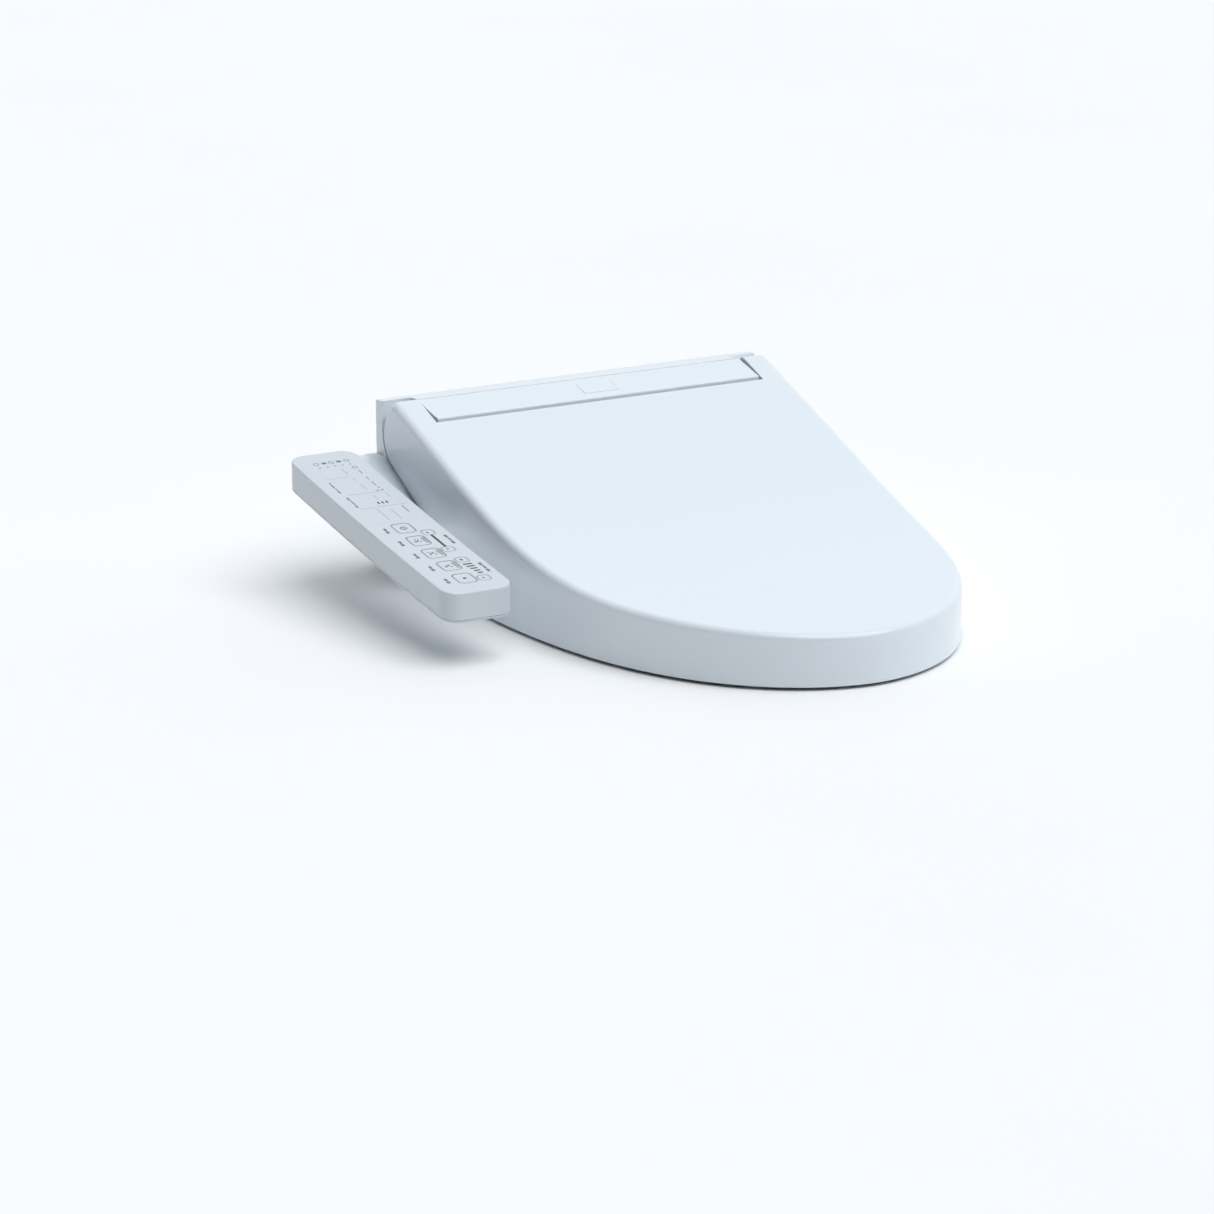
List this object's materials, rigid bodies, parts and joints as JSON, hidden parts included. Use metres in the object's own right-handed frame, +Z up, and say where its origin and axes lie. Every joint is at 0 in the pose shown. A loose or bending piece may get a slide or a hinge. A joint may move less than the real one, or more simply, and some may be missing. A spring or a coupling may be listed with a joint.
{
  "type": "electric bidet seat",
  "caption": "Electric bidet toilet seat with a hinged lid and heated seat ring, a sloping rear housing with a spray wand, and a control arm at one side.",
  "frame": {"origin": "underside of the mounting plate, on the bowl rim plane, midway between the two bolt slots", "axes": "+Z up from the rim, -Y towards the seat's front and the user's feet, +Y towards the tank, the control arm is on -X"},
  "size_m": [0.4895, 0.53, 0.1542],
  "materials": {
    "white_gloss": "smooth cool white moulded plastic, glossy",
    "white_satin": "white plastic, satin",
    "panel_print": "printed white key and window sheet, smooth",
    "grey_plastic": "grey moulded plastic, matte",
    "dark_plastic": "near-black plastic, matte",
    "soft_rubber": "pale grey soft rubber",
    "steel": "ground stainless steel",
    "brass": "machined brass",
    "circuit_board": "green solder-masked board",
    "heater_foil": "aluminium foil heater"
  },
  "bodies": {
    "plate": {"mounting_plate": "grey_plastic"},
    "main": {"main_case": "white_gloss", "base_tray": "white_satin", "base_pad_left": "soft_rubber", "base_pad_right": "soft_rubber", "top_strip": "white_gloss", "indicator_window": "panel_print", "hinge_pin_left": "steel", "hinge_pin_right": "steel", "seat_damper": "dark_plastic", "lid_damper": "dark_plastic", "wand_guide": "grey_plastic", "wand_motor": "steel", "heater_tank": "grey_plastic", "solenoid_valve": "brass", "water_hose": "soft_rubber", "main_board": "circuit_board", "power_module": "dark_plastic", "fan_case": "grey_plastic", "water_inlet": "brass", "cable_gland": "dark_plastic", "arm_neck": "white_gloss", "arm_upper_shell": "white_gloss", "arm_bottom_cover": "white_gloss", "status_sheet": "panel_print", "control_board": "circuit_board"},
    "seat": {"seat_upper_shell": "white_gloss", "seat_lower_shell": "white_satin", "seat_heater": "heater_foil", "seat_bumper_front_left": "soft_rubber", "seat_bumper_front_right": "soft_rubber", "seat_bumper_rear_left": "soft_rubber", "seat_bumper_rear_right": "soft_rubber"},
    "lid": {"lid_shell": "white_gloss", "lid_bumper_left": "soft_rubber", "lid_bumper_right": "soft_rubber"},
    "wand": {"wand": "white_satin", "nozzle_head": "white_satin"},
    "roller": {"wand_roller": "soft_rubber"},
    "impeller": {"fan_impeller": "white_satin"},
    "filter": {"filter_cartridge": "white_satin"},
    "drain": {"drain_knob": "white_satin"},
    "release": {"release_button": "white_satin"},
    "key_stop": {"key_stop": "panel_print"},
    "key_rear": {"key_rear": "panel_print"},
    "key_soft": {"key_soft": "panel_print"},
    "key_front": {"key_front": "panel_print"},
    "key_dryer": {"key_dryer": "panel_print"},
    "key_pressure_up": {"key_pressure_up": "panel_print"},
    "key_pressure_down": {"key_pressure_down": "panel_print"},
    "key_position_forward": {"key_position_forward": "panel_print"},
    "key_position_back": {"key_position_back": "panel_print"}
  },
  "joints": [
    {"name": "main_slide", "type": "slide", "parent": "plate", "child": "main", "axis": [0, -1, 0], "range_m": [0, 0.04]},
    {"name": "seat_hinge", "type": "hinge", "parent": "main", "child": "seat", "pos_m": [0, 0.018, 0.1295], "axis": [-1, 0, 0], "range_deg": [0, 96]},
    {"name": "lid_hinge", "type": "hinge", "parent": "seat", "child": "lid", "pos_m": [0, 0.018, 0.1295], "axis": [1, 0, 0], "range_deg": [-98, 0]},
    {"name": "wand_slide", "type": "slide", "parent": "main", "child": "wand", "axis": [0, -0.8192, -0.5736], "range_m": [0, 0.09]},
    {"name": "roller_spin", "type": "hinge", "parent": "main", "child": "roller", "pos_m": [0, -0.04405, 0.06818], "axis": [-1, 0, 0], "range_deg": [0, 835]},
    {"name": "fan_spin", "type": "hinge", "parent": "main", "child": "impeller", "pos_m": [0.05, -0.034, 0.062], "axis": [1, 0, 0], "continuous": true},
    {"name": "filter_slide", "type": "slide", "parent": "main", "child": "filter", "axis": [1, 0, 0], "range_m": [0, 0.06]},
    {"name": "drain_turn", "type": "hinge", "parent": "main", "child": "drain", "pos_m": [-0.19, -0.03, 0.024], "axis": [-1, 0, 0], "range_deg": [0, 90]},
    {"name": "release_press", "type": "slide", "parent": "main", "child": "release", "axis": [-1, 0, 0], "range_m": [0, 0.003], "stiffness_N_per_m": 400},
    {"name": "key_stop_press", "type": "slide", "parent": "main", "child": "key_stop", "axis": [0, 0.1355, -0.9908], "range_m": [0, 0.0008], "stiffness_N_per_m": 600},
    {"name": "key_rear_press", "type": "slide", "parent": "main", "child": "key_rear", "axis": [0, 0.1408, -0.99], "range_m": [0, 0.0008], "stiffness_N_per_m": 600},
    {"name": "key_soft_press", "type": "slide", "parent": "main", "child": "key_soft", "axis": [0, 0.146, -0.9893], "range_m": [0, 0.0008], "stiffness_N_per_m": 600},
    {"name": "key_front_press", "type": "slide", "parent": "main", "child": "key_front", "axis": [0, 0.1513, -0.9885], "range_m": [0, 0.0008], "stiffness_N_per_m": 600},
    {"name": "key_dryer_press", "type": "slide", "parent": "main", "child": "key_dryer", "axis": [0, 0.1565, -0.9877], "range_m": [0, 0.0008], "stiffness_N_per_m": 600},
    {"name": "key_pressure_up_press", "type": "slide", "parent": "main", "child": "key_pressure_up", "axis": [0, 0.1422, -0.9898], "range_m": [0, 0.0008], "stiffness_N_per_m": 600},
    {"name": "key_pressure_down_press", "type": "slide", "parent": "main", "child": "key_pressure_down", "axis": [0, 0.1347, -0.9909], "range_m": [0, 0.0008], "stiffness_N_per_m": 600},
    {"name": "key_position_forward_press", "type": "slide", "parent": "main", "child": "key_position_forward", "axis": [0, 0.1468, -0.9892], "range_m": [0, 0.0008], "stiffness_N_per_m": 600},
    {"name": "key_position_back_press", "type": "slide", "parent": "main", "child": "key_position_back", "axis": [0, 0.1538, -0.9881], "range_m": [0, 0.0008], "stiffness_N_per_m": 600}
  ],
  "couplings": [
    {"joint": "roller_spin", "follows": "wand_slide", "rad_per_m": 161.29}
  ]
}
